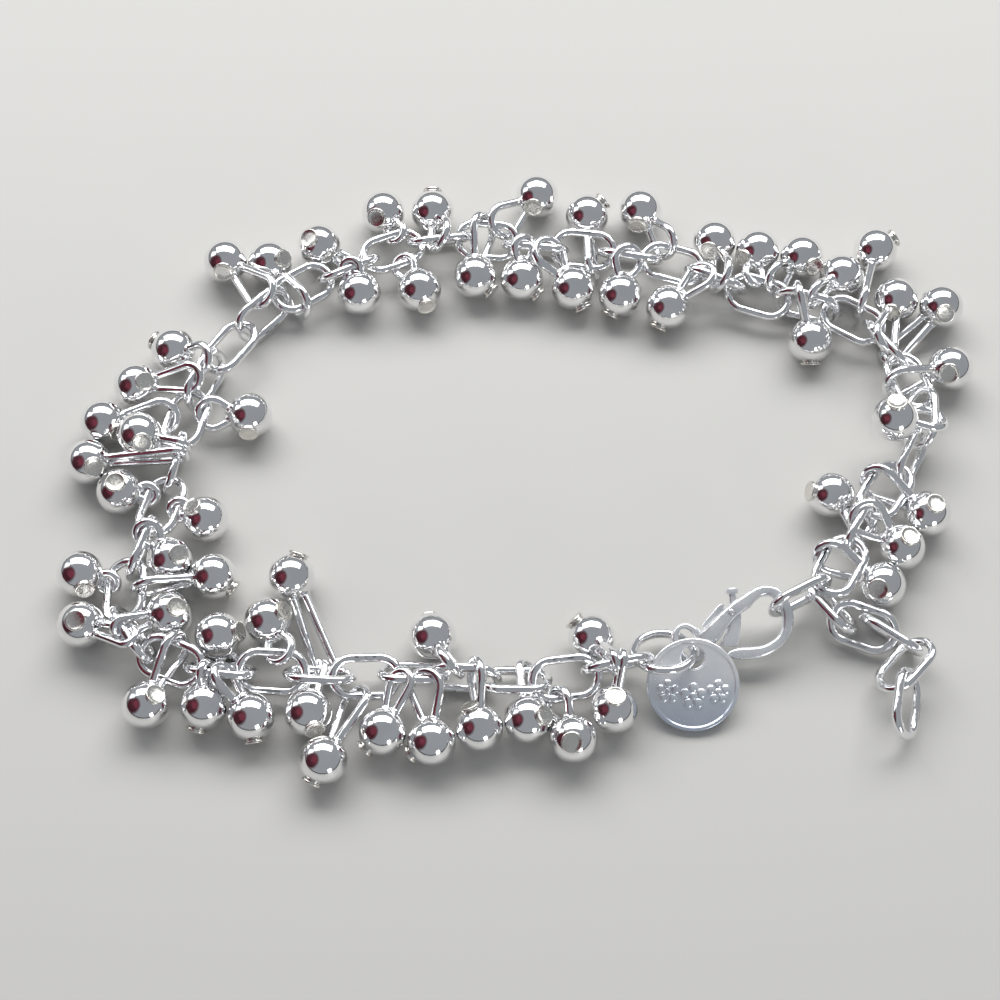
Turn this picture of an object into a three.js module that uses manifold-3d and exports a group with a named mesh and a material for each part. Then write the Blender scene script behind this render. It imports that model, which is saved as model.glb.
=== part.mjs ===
// A silver bead-cluster bracelet, fastened and lying on a table.
// A cable chain of oval wire links carries polished balls. Each ball sits on a pin
// whose flat disc head shows on the ball and whose wire is bent into a long loop
// round a link. A jump ring joins the chain's first link, a round tag and a lobster
// clasp. The clasp's hook holds a plain link, and a short tail of links hangs on it.
// Millimetres, +Z up. The origin is on the table, under the middle of the bracelet.
import * as THREE from 'three';
import { mergeVertices } from 'three/addons/utils/BufferGeometryUtils.js';
import Module from 'manifold-3d';

const wasm = await Module();
wasm.setup();

// ---------------------------------------------------------------- driving dimensions
const BALL_RADIUS = 2.1;
const LINK = { wire: 0.41, arc: 1.69, straight: 1.2, sides: 5, steps: 10 };
const LOOP = { wire: 0.4, neck: 0.52, start: 1.5, reach: 0.66, sides: 4, steps: 6 };
const HEAD = { radius: 0.95, inner: 1.7, outer: 2.32, sides: 6 };
const RING = { radius: 2.59, wire: 0.41, cut: 0.15, cutAt: 255, sides: 6, steps: 20 };
const TAG = { radius: 4.05, thick: 0.7, hole: 1.0, holeOut: 2.4, bevel: 0.2, sides: 32 };
const CLASP = { thick: 1.6, hook: 1.3, eye: 0.9, slot: 1.02, lever: 0.9, pin: 0.3, gap: 0.05 };
const ROOM = { balls: 0.08, wires: 0.1 };
const CENTRE = [1.7, 2.58];

// The beaded chain from the jump ring round to the clasp link: each link's centre, its
// height, and how far its flat side leans outwards (degrees).
const CHAIN = [
  { x: 9.6, y: -18.2, z: 3.1, roll: -75 }, { x: 5.1, y: -19.2, z: 2.35, roll: 22 },
  { x: 0.7, y: -19.3, z: 2.2, roll: -38 }, { x: -3.7, y: -19.1, z: 2.2, roll: -100 },
  { x: -8.1, y: -18.6, z: 2.2, roll: -46 }, { x: -12.3, y: -19, z: 2.2, roll: 14 },
  { x: -16.3, y: -18.8, z: 2.2, roll: -52 }, { x: -20.5, y: -18.5, z: 2.2, roll: 22 },
  { x: -25, y: -18.3, z: 2.2, roll: -55 }, { x: -29.4, y: -17.5, z: 2.2, roll: 20 },
  { x: -32.8, y: -15, z: 2.2, roll: -66 }, { x: -33.9, y: -10.7, z: 2.2, roll: 15 },
  { x: -32.8, y: -6.4, z: 2.2, roll: 80 }, { x: -31.3, y: -2.2, z: 2.2, roll: 10 },
  { x: -30.4, y: 2.3, z: 2.2, roll: 75 }, { x: -29.7, y: 6.9, z: 2.2, roll: 5 },
  { x: -28.2, y: 11.2, z: 2.2, roll: -70 }, { x: -26.1, y: 14.8, z: 2.2, roll: 12 },
  { x: -23.1, y: 18.5, z: 2.2, roll: -65 }, { x: -19.5, y: 21.5, z: 2.2, roll: -12 },
  { x: -15.2, y: 23.6, z: 2.2, roll: 60 }, { x: -11, y: 25.7, z: 2.2, roll: -5 },
  { x: -6.5, y: 27, z: 2.2, roll: 60 }, { x: -1.8, y: 26.9, z: 2.2, roll: -20 },
  { x: 2.8, y: 26.1, z: 2.2, roll: 60 }, { x: 7.5, y: 25.8, z: 2.2, roll: -20 },
  { x: 11.9, y: 25.1, z: 2.2, roll: 60 }, { x: 16, y: 24.2, z: 2.2, roll: -9 },
  { x: 20.1, y: 22.4, z: 2.2, roll: 67 }, { x: 24.1, y: 20.5, z: 2.2, roll: -15 },
  { x: 28.6, y: 19.4, z: 2.2, roll: -82 }, { x: 32.9, y: 17.8, z: 2.2, roll: -10 },
  { x: 35.9, y: 14.9, z: 2.2, roll: 70 }, { x: 37.7, y: 11, z: 2.2, roll: 10 },
  { x: 38.4, y: 7, z: 2.2, roll: -50 }, { x: 37.2, y: 2.9, z: 2.2, roll: 70 },
  { x: 34.45, y: -0.75, z: 2.5, roll: 0 }, { x: 31.95, y: -4.75, z: 2.9, roll: 75 },
  { x: 29.6, y: -8.8, z: 3.35, roll: 0 },
];

// The plain links: the one in the hook, then the tail. Heading is the long side's way.
const PLAIN = [
  { name: 'clasp_link', x: 25.85, y: -11.75, z: 3.45, heading: 28.6, roll: 90 },
  { name: 'tail_link_1', x: 28.76, y: -12.07, z: 1.81, heading: -52.5, roll: -128 },
  { name: 'tail_link_2', x: 31.48, y: -13.93, z: 1.61, heading: -21, roll: -25 },
  { name: 'tail_link_3', x: 33.91, y: -14.89, z: 2.01, heading: -35.5, roll: -111 },
  { name: 'tail_link_4', x: 34.85, y: -17.93, z: 2.3, heading: 48.5, roll: 36.5 },
  { name: 'tail_link_5', x: 34.58, y: -21.62, z: 2.5, heading: -101, roll: 55.5 },
];

// Each ball: its place, its lift off the table, and where its pin's disc head faces
// (degrees round from +X, then up). Then its loop's grip: the link's number, the side of
// it, how far along (mm), the loop's twist about its own length (degrees) and the radius
// of its round bend (mm).
const BALLS = [
  { x: 7.1, y: -16.4, lift: 0, turn: 140, up: 20, link: 1, side: 1, along: 0.5, twist: 0, bend: 0.88 },
  { x: 8.9, y: -21.7, lift: 0, turn: 80, up: 80, link: 1, side: 1, along: -0.2, twist: 0, bend: 0.88 },
  { x: 5.6, y: -24.7, lift: 0, turn: 260, up: 60, link: 2, side: 1, along: 1, twist: 35, bend: 1.35 },
  { x: 1.9, y: -22.5, lift: 0, turn: 350, up: 50, link: 3, side: -1, along: -1, twist: -45, bend: 0.88 },
  { x: -2.2, y: -23.7, lift: 0, turn: 120, up: 40, link: 4, side: 1, along: -1, twist: 20, bend: 1.5 },
  { x: -6.4, y: -25, lift: 0, turn: 200, up: -30, link: 5, side: 1, along: -1, twist: 60, bend: 1.5 },
  { x: -10.7, y: -24.1, lift: 0, turn: 220, up: -20, link: 5, side: 1, along: 1, twist: 60, bend: 1.05 },
  { x: -6.6, y: -16.2, lift: 0, turn: 100, up: -20, link: 4, side: 1, along: 1, twist: 35, bend: 1.5 },
  { x: -15.7, y: -26.7, lift: 0, turn: 240, up: -20, link: 6, side: 1, along: 0.7, twist: 45, bend: 1.5 },
  { x: -17.2, y: -22.3, lift: 0, turn: 290, up: 20, link: 7, side: -1, along: 0.5, twist: 60, bend: 0.88 },
  { x: -22.2, y: -22.7, lift: 0, turn: 280, up: -20, link: 9, side: 1, along: -0.5, twist: -35, bend: 1.05 },
  { x: -26.3, y: -21.4, lift: 0, turn: 250, up: -30, link: 9, side: 1, along: 1, twist: -20, bend: 0.88 },
  { x: -31.3, y: -21.6, lift: 0, turn: 10, up: 60, link: 10, side: -1, along: 0, twist: -20, bend: 1.5 },
  { x: -21.1, y: -13.6, lift: 0, turn: 10, up: 45, link: 8, side: -1, along: -0.7, twist: -60, bend: 1.2 },
  { x: -25.5, y: -15.4, lift: 0, turn: 0, up: 25, link: 9, side: -1, along: -0.5, twist: 60, bend: 0.88 },
  { x: -19.2, y: -9.3, lift: 0, turn: 70, up: 25, link: 7, side: -1, along: -0.4, twist: 90, bend: 0.88 },
  { x: -30.8, y: -13.1, lift: 0, turn: 350, up: 65, link: 11, side: 1, along: 0.5, twist: 35, bend: 0.88 },
  { x: -26.6, y: -9.1, lift: 0, turn: 330, up: -15, link: 12, side: -1, along: 0, twist: 0, bend: 1.5 },
  { x: -30.8, y: -8.2, lift: 0, turn: 340, up: 60, link: 13, side: -1, along: 1, twist: 45, bend: 1.05 },
  { x: -37, y: -13.7, lift: 0, turn: 260, up: 75, link: 11, side: 1, along: -0.5, twist: 60, bend: 0.88 },
  { x: -37.8, y: -9, lift: 0, turn: 290, up: 20, link: 12, side: 1, along: 1, twist: -45, bend: 0.88 },
  { x: -28.1, y: -3.3, lift: 0, turn: 160, up: 60, link: 14, side: -1, along: 0, twist: 55, bend: 0.88 },
  { x: -33.9, y: -0.7, lift: 0, turn: 270, up: 85, link: 14, side: 1, along: 1, twist: -55, bend: 0.88 },
  { x: -37.8, y: 2, lift: 0, turn: 300, up: 45, link: 15, side: -1, along: 0, twist: 0, bend: 0.88 },
  { x: -37.4, y: 6.6, lift: 0, turn: 320, up: 15, link: 16, side: 1, along: 0, twist: -55, bend: 1.5 },
  { x: -33.2, y: 4.6, lift: 1.4, turn: 290, up: 40, link: 15, side: -1, along: 1, twist: 0, bend: 0.88 },
  { x: -34.6, y: 10.6, lift: 0, turn: 330, up: 55, link: 17, side: 1, along: -1, twist: -60, bend: 1.2 },
  { x: -31.4, y: 14.5, lift: 0, turn: 150, up: 0, link: 17, side: 1, along: 1, twist: -55, bend: 1.35 },
  { x: -23.8, y: 7.4, lift: 0, turn: 270, up: 10, link: 16, side: -1, along: 1, twist: 55, bend: 1.35 },
  { x: -26.7, y: 24.5, lift: 0, turn: 270, up: 30, link: 19, side: 1, along: 1, twist: -60, bend: 1.5 },
  { x: -22.4, y: 23.3, lift: 0, turn: 340, up: 45, link: 20, side: -1, along: -1, twist: -20, bend: 1.5 },
  { x: -18.2, y: 25.5, lift: 0, turn: 210, up: 65, link: 21, side: 1, along: 1, twist: 60, bend: 0.88 },
  { x: -12, y: 30.3, lift: 0, turn: 250, up: 40, link: 22, side: 1, along: 1, twist: -60, bend: 0.88 },
  { x: -12.3, y: 23.5, lift: 0, turn: 90, up: -20, link: 21, side: -1, along: 0, twist: 60, bend: 0.88 },
  { x: -7.2, y: 30.4, lift: 0, turn: 90, up: 10, link: 23, side: -1, along: 0, twist: -35, bend: 1.5 },
  { x: -8.3, y: 21.3, lift: 0, turn: 290, up: 5, link: 22, side: -1, along: 0.5, twist: 60, bend: 1.05 },
  { x: -3, y: 22.8, lift: 0, turn: 320, up: -15, link: 24, side: 1, along: -0.5, twist: -35, bend: 1.5 },
  { x: 3, y: 32.2, lift: 0, turn: 260, up: 25, link: 24, side: 1, along: 1, twist: 45, bend: 1.5 },
  { x: 1.5, y: 22.5, lift: 0, turn: 320, up: -20, link: 25, side: -1, along: -1, twist: -55, bend: 1.05 },
  { x: 6.4, y: 21.5, lift: 0, turn: 300, up: -25, link: 25, side: -1, along: 1, twist: -55, bend: 1.5 },
  { x: 7.9, y: 29.9, lift: 0, turn: 40, up: 20, link: 26, side: -1, along: 1, twist: 20, bend: 1.2 },
  { x: 10.9, y: 20.7, lift: 0, turn: 240, up: -25, link: 27, side: -1, along: 0, twist: -60, bend: 1.35 },
  { x: 13.1, y: 30.5, lift: 0, turn: 260, up: 15, link: 28, side: 1, along: -1, twist: -20, bend: 1.5 },
  { x: 15.4, y: 19.3, lift: 0, turn: 240, up: -25, link: 29, side: -1, along: -1, twist: 60, bend: 1.35 },
  { x: 20, y: 26.2, lift: 0, turn: 250, up: 30, link: 29, side: -1, along: 0.7, twist: -20, bend: 1.5 },
  { x: 24.5, y: 25.7, lift: 0, turn: 220, up: 20, link: 30, side: 1, along: -1, twist: 60, bend: 1.05 },
  { x: 28.8, y: 24.7, lift: 0, turn: 300, up: 25, link: 30, side: 1, along: 1, twist: 20, bend: 1.5 },
  { x: 31.4, y: 23.3, lift: 0, turn: 80, up: -30, link: 31, side: 1, along: 0.5, twist: 0, bend: 1.2 },
  { x: 30, y: 16.9, lift: 0, turn: 270, up: -30, link: 31, side: 1, along: -1, twist: 0, bend: 1.5 },
  { x: 35.7, y: 25.9, lift: 0, turn: 30, up: 15, link: 32, side: 1, along: 0, twist: 0, bend: 1.5 },
  { x: 37.5, y: 20.1, lift: 0, turn: 250, up: 20, link: 33, side: -1, along: 0, twist: 60, bend: 1.35 },
  { x: 41.2, y: 19.4, lift: 0, turn: 270, up: 40, link: 33, side: 1, along: 0.4, twist: 90, bend: 0.88 },
  { x: 40.5, y: 12, lift: 0, turn: 250, up: 45, link: 34, side: -1, along: 0, twist: 20, bend: 1.5 },
  { x: 36.2, y: 4.8, lift: 3.2, turn: 100, up: 75, link: 35, side: 1, along: 0.7, twist: 60, bend: 1.5 },
  { x: 37, y: -2.2, lift: 0, turn: 350, up: 80, link: 37, side: -1, along: -0.4, twist: 35, bend: 1.5 },
  { x: 29.8, y: -1, lift: 0, turn: 180, up: 20, link: 38, side: 1, along: -0.8, twist: 60, bend: 1.5 },
  { x: 35.6, y: -6.2, lift: 0, turn: 10, up: 80, link: 38, side: -1, along: -0.4, twist: 60, bend: 1.5 },
  { x: 33.4, y: -10, lift: 0, turn: 240, up: 50, link: 39, side: -1, along: -0.4, twist: 35, bend: 1.5 },
];

// The clasp seen flat: its long axis runs from the eye to the hook (mm from the rivet).
const CLASP_PLACE = { x: 19.69, y: -13.31, z: 3.17, heading: 23.5, tilt: 19 };
const CLASP_OUTLINE = [
  { u: -3.3, v: -0.45 }, { u: -2.4, v: -0.15 }, { u: -0.9, v: 0.42 }, { u: 0.8, v: 0.88 },
  { u: 2.4, v: 1.14 }, { u: 3.3, v: 1.16 }, { u: 4.05, v: 0.9 }, { u: 4.7, v: 0.35 },
  { u: 5.05, v: -0.5 }, { u: 5.12, v: -1.4 }, { u: 5, v: -2.3 }, { u: 4.6, v: -3.2 },
  { u: 3.9, v: -3.95 }, { u: 2.9, v: -4.5 }, { u: 1.7, v: -4.75 }, { u: 0.5, v: -4.65 },
  { u: -0.6, v: -4.28 }, { u: -1.4, v: -3.85 }, { u: -1.85, v: -3.4 }, { u: -1.75, v: -3.05 },
  { u: -1.3, v: -2.98 }, { u: -0.5, v: -3.08 }, { u: 0.4, v: -3.45 }, { u: 1.5, v: -3.74 },
  { u: 2.6, v: -3.6 }, { u: 3.5, v: -3.02 }, { u: 4, v: -2.1 }, { u: 4.15, v: -1.2 },
  { u: 4.05, v: -0.5 }, { u: 3.65, v: 0 }, { u: 3, v: 0.17 }, { u: 2.2, v: -0.05 },
  { u: 1.4, v: -0.4 }, { u: 0.6, v: -0.5 }, { u: -0.2, v: -0.75 }, { u: -0.9, v: -1.15 },
  { u: -1.6, v: -1.6 }, { u: -2.4, v: -1.9 }, { u: -3.3, v: -2.05 },
];
// The lower cheek's outer edge stands out past the arm, behind the thumb tab.
const CHEEK_OUTLINE = [
  { u: -2.7, v: -0.4 }, { u: -2.65, v: 0.1 }, { u: -1.5, v: 0.68 }, { u: -0.45, v: 1.15 },
  { u: -0.15, v: 1 }, { u: -0.3, v: 0.4 }, { u: -1.6, v: -0.1 },
];
const CHEEK = { thick: 0.28, low: -0.66 };
const EYE = { u: -4.52, v: -0.98, outU: 1.55, outV: 1.95, holeU: 0.72, holeV: 1.35, sides: 16 };
const ARM = { u: -0.6, v: -0.5, wide: 6.4, deep: 4.6 };
const SLOT = { u: 0.2, v: -0.5, wide: 3, deep: 4.2 };
const LEVER_OUTLINE = [
  { u: 0.5, v: 1.75 }, { u: 1.1, v: 1.53 }, { u: 0.88, v: 0.85 }, { u: 0.78, v: 0.3 },
  { u: 0.86, v: -0.2 }, { u: 0.76, v: -0.6 }, { u: 0.46, v: -1.25 }, { u: 0.05, v: -1.9 },
  { u: -0.3, v: -2.45 }, { u: -0.52, v: -2.82 }, { u: -1.1, v: -2.7 }, { u: -1.7, v: -2.4 },
  { u: -2.1, v: -2.1 }, { u: -1.75, v: -1.88 }, { u: -1.3, v: -1.53 }, { u: -0.92, v: -1.18 },
  { u: -0.62, v: -0.6 }, { u: -0.62, v: 0.1 }, { u: -0.35, v: 0.52 }, { u: 0.12, v: 0.76 },
  { u: 0.36, v: 1.2 },
];
// The thumb tab's bar lies across the lever's end.
const TAB_OUTLINE = [
  { u: 0.24, v: 1.73 }, { u: 1.33, v: 1.33 }, { u: 1.46, v: 1.71 }, { u: 0.37, v: 2.11 },
];
const TAB_TALL = 1.5;

// ---------------------------------------------------------------- small vector helpers
const vec = (x, y, z) => new THREE.Vector3(x, y, z);
const plus = (a, b, k = 1) => a.clone().addScaledVector(b, k);
const minus = (a, b) => a.clone().sub(b);
const cross = (a, b) => new THREE.Vector3().crossVectors(a, b);
const rad = (deg) => deg * Math.PI / 180;

function solid(geometry) {
  const bare = geometry.index ? geometry.toNonIndexed() : geometry.clone();
  bare.deleteAttribute('normal');
  bare.deleteAttribute('uv');
  const g = mergeVertices(bare, 1e-5);
  return new wasm.Manifold(new wasm.Mesh({
    numProp: 3,
    vertProperties: new Float32Array(g.attributes.position.array),
    triVerts: new Uint32Array(g.index.array),
  }));
}

function toGeometry(manifold) {
  const m = manifold.getMesh();
  const g = new THREE.BufferGeometry();
  g.setAttribute('position', new THREE.BufferAttribute(new Float32Array(m.vertProperties), 3));
  g.setIndex(new THREE.BufferAttribute(new Uint32Array(m.triVerts), 1));
  return g;
}

// A round wire along a line of points. The wire's section stays square to the binormal.
function wire(points, binormal, radius, sides, closed = false) {
  const n = points.length;
  const pos = [];
  const index = [];
  for (let i = 0; i < n; i += 1) {
    const before = closed ? points[(i + n - 1) % n] : points[Math.max(i - 1, 0)];
    const after = closed ? points[(i + 1) % n] : points[Math.min(i + 1, n - 1)];
    const side = cross(binormal, minus(after, before).normalize()).normalize();
    for (let k = 0; k < sides; k += 1) {
      const a = 2 * Math.PI * (k + 0.5) / sides;
      const p = plus(plus(points[i], side, radius * Math.cos(a)), binormal, radius * Math.sin(a));
      pos.push(p.x, p.y, p.z);
    }
  }
  const rings = closed ? n : n - 1;
  for (let i = 0; i < rings; i += 1) {
    for (let k = 0; k < sides; k += 1) {
      const a = i * sides + k;
      const b = i * sides + (k + 1) % sides;
      const c = ((i + 1) % n) * sides + k;
      const d = ((i + 1) % n) * sides + (k + 1) % sides;
      index.push(a, b, c, b, d, c);
    }
  }
  if (!closed) {
    const last = (n - 1) * sides;
    for (let k = 1; k < sides - 1; k += 1) {
      index.push(0, k + 1, k);
      index.push(last, last + k, last + k + 1);
    }
  }
  const g = new THREE.BufferGeometry();
  g.setAttribute('position', new THREE.Float32BufferAttribute(pos, 3));
  g.setIndex(index);
  return solid(g);
}

// ---------------------------------------------------------------- chain links
function linkFrame(i) {
  const before = CHAIN[Math.max(i - 1, 0)];
  const after = CHAIN[Math.min(i + 1, CHAIN.length - 1)];
  const heading = Math.atan2(after.y - before.y, after.x - before.x);
  return frameAt(CHAIN[i], heading);
}

function frameAt(row, heading) {
  const along = vec(Math.cos(heading), Math.sin(heading), 0);
  const roll = rad(row.roll);
  const across = vec(-along.y * Math.cos(roll), along.x * Math.cos(roll), -Math.sin(roll));
  return { centre: vec(row.x, row.y, row.z), along, across, flat: cross(along, across) };
}

function ovalLine(f, steps) {
  const line = [];
  for (let k = 0; k < steps; k += 1) {
    const a = 2 * Math.PI * (k + 0.5) / steps;
    const x = LINK.arc * Math.cos(a) + (Math.cos(a) > 0 ? LINK.straight : -LINK.straight);
    line.push(plus(plus(f.centre, f.along, x), f.across, LINK.arc * Math.sin(a)));
  }
  return line;
}

function ovalLink(f) {
  return wire(ovalLine(f, LINK.steps), f.flat, LINK.wire, LINK.sides, true);
}

// ---------------------------------------------------------------- where the balls lie
// The balls start at their charted places and are pushed apart on the table until each
// has a little room from every other ball and from the chain.
function settleBalls(frames) {
  const places = BALLS.map((b) => vec(b.x, b.y, BALL_RADIUS + b.lift));
  const chain = [];
  for (const f of frames) {
    chain.push(...ovalLine(f, 24));
    for (const side of [1, -1]) {
      for (const a of [-0.8, -0.4, 0, 0.4, 0.8]) {
        chain.push(plus(plus(f.centre, f.along, a), f.across, side * LINK.arc));
      }
    }
  }
  const apart = 2 * BALL_RADIUS + ROOM.balls;
  const clear = BALL_RADIUS + LINK.wire + ROOM.wires;
  for (let round = 0; round < 60; round += 1) {
    const moves = places.map(() => [0, 0]);
    for (let i = 0; i < places.length; i += 1) {
      for (let j = 0; j < i; j += 1) {
        const d = minus(places[i], places[j]);
        const r = d.length();
        if (r < apart) {
          const k = (apart - r) * 0.5 / Math.hypot(d.x, d.y);
          moves[i][0] += d.x * k;
          moves[i][1] += d.y * k;
          moves[j][0] -= d.x * k;
          moves[j][1] -= d.y * k;
        }
      }
      let near = null;
      for (const p of chain) {
        const d = minus(places[i], p);
        if (!near || d.length() < near.length()) near = d;
      }
      if (near.length() < clear) {
        const k = (clear - near.length()) * 0.8 / Math.hypot(near.x, near.y);
        moves[i][0] += near.x * k;
        moves[i][1] += near.y * k;
      }
    }
    places.forEach((p, i) => {
      p.x += moves[i][0];
      p.y += moves[i][1];
    });
  }
  return places;
}

// ---------------------------------------------------------------- one ball on its pin
// A loop seen flat, as [out from the ball, sideways]: two legs that part from the ball
// and run on smoothly into the round bend at the far end.
function loopLine(far, bend) {
  const middle = far - bend;
  const run = Math.hypot(middle - LOOP.start, LOOP.neck);
  const lean = Math.asin(Math.min(bend / run, 1)) - Math.atan2(LOOP.neck, middle - LOOP.start);
  const turn = lean + Math.PI / 2;
  const line = [[LOOP.start, LOOP.neck]];
  for (let k = 0; k <= LOOP.steps; k += 1) {
    const a = turn * (1 - 2 * k / LOOP.steps);
    line.push([middle + bend * Math.cos(a), bend * Math.sin(a)]);
  }
  line.push([LOOP.start, -LOOP.neck]);
  return line;
}

function charm(row, centre, f) {
  const grip = plus(plus(f.centre, f.along, row.along), f.across, row.side * LINK.arc);
  const out = minus(grip, centre).normalize();
  const square = plus(f.along, out, -f.along.dot(out)).normalize();
  const normal = square.clone().applyAxisAngle(out, rad(row.twist));
  const side = cross(normal, out);
  const line = loopLine(minus(grip, centre).length() + LOOP.reach, row.bend)
    .map(([u, v]) => plus(plus(centre, out, u), side, v));
  const ball = new THREE.IcosahedronGeometry(BALL_RADIUS, 1);
  ball.translate(centre.x, centre.y, centre.z);
  const depth = HEAD.outer - HEAD.inner;
  const head = new THREE.CylinderGeometry(HEAD.radius, HEAD.radius, depth, HEAD.sides);
  head.translate(0, (HEAD.outer + HEAD.inner) / 2, 0);
  const flat = Math.cos(rad(row.up));
  const face = vec(flat * Math.cos(rad(row.turn)), flat * Math.sin(rad(row.turn)), Math.sin(rad(row.up)));
  head.applyQuaternion(new THREE.Quaternion().setFromUnitVectors(vec(0, 1, 0), face));
  head.translate(centre.x, centre.y, centre.z);
  return solid(ball).add(solid(head)).add(wire(line, normal, LOOP.wire, LOOP.sides));
}

// ---------------------------------------------------------------- naming and placing
const bracelet = new THREE.Group();
bracelet.name = 'beaded_bracelet';
bracelet.position.set(-CENTRE[0], -CENTRE[1], 0);

function addNode(name, manifold, centre, colour = 0xd6d8da) {
  const geometry = toGeometry(manifold);
  geometry.translate(-centre.x, -centre.y, -centre.z);
  const material = new THREE.MeshStandardMaterial({ color: colour, metalness: 1, roughness: 0.15 });
  const mesh = new THREE.Mesh(geometry, material);
  mesh.name = name;
  mesh.position.copy(centre);
  bracelet.add(mesh);
}

const frames = CHAIN.map((row, i) => linkFrame(i));
const places = settleBalls(frames);
CHAIN.forEach((row, i) => {
  let body = ovalLink(frames[i]);
  BALLS.forEach((ball, k) => {
    if (ball.link === i + 1) body = body.add(charm(ball, places[k], frames[i]));
  });
  addNode(`link_${String(i + 1).padStart(2, '0')}`, body, frames[i].centre);
});
for (const row of PLAIN) {
  const f = frameAt(row, rad(row.heading));
  addNode(row.name, ovalLink(f), f.centre);
}

// ---------------------------------------------------------------- jump ring
const RING_PLACE = { x: 13.7, y: -16.8, z: 2.6, lean: 27 };
const ringCentre = vec(RING_PLACE.x, RING_PLACE.y, RING_PLACE.z);
const ringNormal = vec(0, Math.sin(rad(RING_PLACE.lean)), Math.cos(rad(RING_PLACE.lean)));
const ringNear = vec(0, -ringNormal.z, ringNormal.y);
const ringPoint = (deg) => plus(plus(ringCentre, vec(1, 0, 0), RING.radius * Math.cos(rad(deg))),
  ringNear, RING.radius * Math.sin(rad(deg)));
const ringLine = [];
const cutHalf = RING.cut / 2 / RING.radius * 180 / Math.PI;
for (let k = 0; k <= RING.steps; k += 1) {
  ringLine.push(ringPoint(RING.cutAt + cutHalf + (360 - 2 * cutHalf) * k / RING.steps));
}
addNode('jump_ring', wire(ringLine, ringNormal, RING.wire, RING.sides), ringCentre);

// ---------------------------------------------------------------- tag
const TAG_PLACE = { tilt: 24, crossing: 16 };
const tagUp = vec(0, Math.cos(rad(TAG_PLACE.tilt)), Math.sin(rad(TAG_PLACE.tilt)));
const tagFace = vec(0, -tagUp.z, tagUp.y);
const tagCentre = plus(ringPoint(TAG_PLACE.crossing), tagUp, -TAG.holeOut);
const rim = [[0, -TAG.thick / 2], [TAG.radius - TAG.bevel, -TAG.thick / 2],
  [TAG.radius, -TAG.thick / 2 + TAG.bevel], [TAG.radius, TAG.thick / 2 - TAG.bevel],
  [TAG.radius - TAG.bevel, TAG.thick / 2], [0, TAG.thick / 2]];
const disc = new THREE.LatheGeometry(rim.map(([r, z]) => new THREE.Vector2(r, z)), TAG.sides);
disc.rotateX(Math.PI / 2);
const hole = new THREE.CylinderGeometry(TAG.hole, TAG.hole, 3, 16);
hole.rotateX(Math.PI / 2);
hole.translate(0, TAG.holeOut, 0);
const tagBasis = new THREE.Matrix4().makeBasis(vec(1, 0, 0), tagUp, tagFace).setPosition(tagCentre);
disc.applyMatrix4(tagBasis);
hole.applyMatrix4(tagBasis);
addNode('tag_disc', solid(disc).subtract(solid(hole)), tagCentre);

// ---------------------------------------------------------------- lobster clasp
const claspTilt = rad(CLASP_PLACE.tilt);
const lay = new THREE.Matrix4().makeRotationX(claspTilt)
  .multiply(new THREE.Matrix4().makeRotationZ(rad(CLASP_PLACE.heading)));
lay.setPosition(CLASP_PLACE.x, CLASP_PLACE.y, CLASP_PLACE.z);
const claspCentre = vec(CLASP_PLACE.x, CLASP_PLACE.y, CLASP_PLACE.z);

function slab(outline, thick, middle = 0) {
  const shape = new THREE.Shape(outline.map((p) => new THREE.Vector2(p.u, p.v)));
  const g = new THREE.ExtrudeGeometry(shape, { depth: thick, bevelEnabled: false });
  g.translate(0, 0, middle - thick / 2);
  return solid(g.applyMatrix4(lay));
}

function ellipse(u, v, halfU, halfV, thick, sides) {
  const outline = [];
  for (let k = 0; k < sides; k += 1) {
    const a = 2 * Math.PI * k / sides;
    outline.push({ u: u + halfU * Math.cos(a), v: v + halfV * Math.sin(a) });
  }
  return slab(outline, thick);
}

function block(box, tall) {
  const side = (s) => box.u + s * box.wide / 2;
  const end = (s) => box.v + s * box.deep / 2;
  return slab([{ u: side(-1), v: end(-1) }, { u: side(1), v: end(-1) },
    { u: side(1), v: end(1) }, { u: side(-1), v: end(1) }], tall);
}

const bore = CLASP.pin + CLASP.gap;
const pinHole = ellipse(0, 0, bore, bore, 4, 24);
const claspArm = slab(CLASP_OUTLINE, CLASP.thick).intersect(block(ARM, 4))
  .add(slab(CHEEK_OUTLINE, CHEEK.thick, CHEEK.low))
  .subtract(block(SLOT, CLASP.slot));
const claspHook = slab(CLASP_OUTLINE, CLASP.hook).subtract(block(SLOT, CLASP.slot));
const claspBody = claspArm.add(claspHook)
  .add(ellipse(EYE.u, EYE.v, EYE.outU, EYE.outV, CLASP.eye, EYE.sides))
  .subtract(ellipse(EYE.u, EYE.v, EYE.holeU, EYE.holeV, 4, EYE.sides))
  .subtract(pinHole);
addNode('clasp_body', claspBody, claspCentre);

const lever = slab(LEVER_OUTLINE, CLASP.lever)
  .add(slab(TAB_OUTLINE, TAB_TALL))
  .subtract(pinHole);
addNode('clasp_lever', lever, claspCentre);
addNode('clasp_pin', ellipse(0, 0, CLASP.pin, CLASP.pin, CLASP.thick + 0.2, 24), claspCentre);

export default bracelet;
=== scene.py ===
import math
from collections import namedtuple

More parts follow.
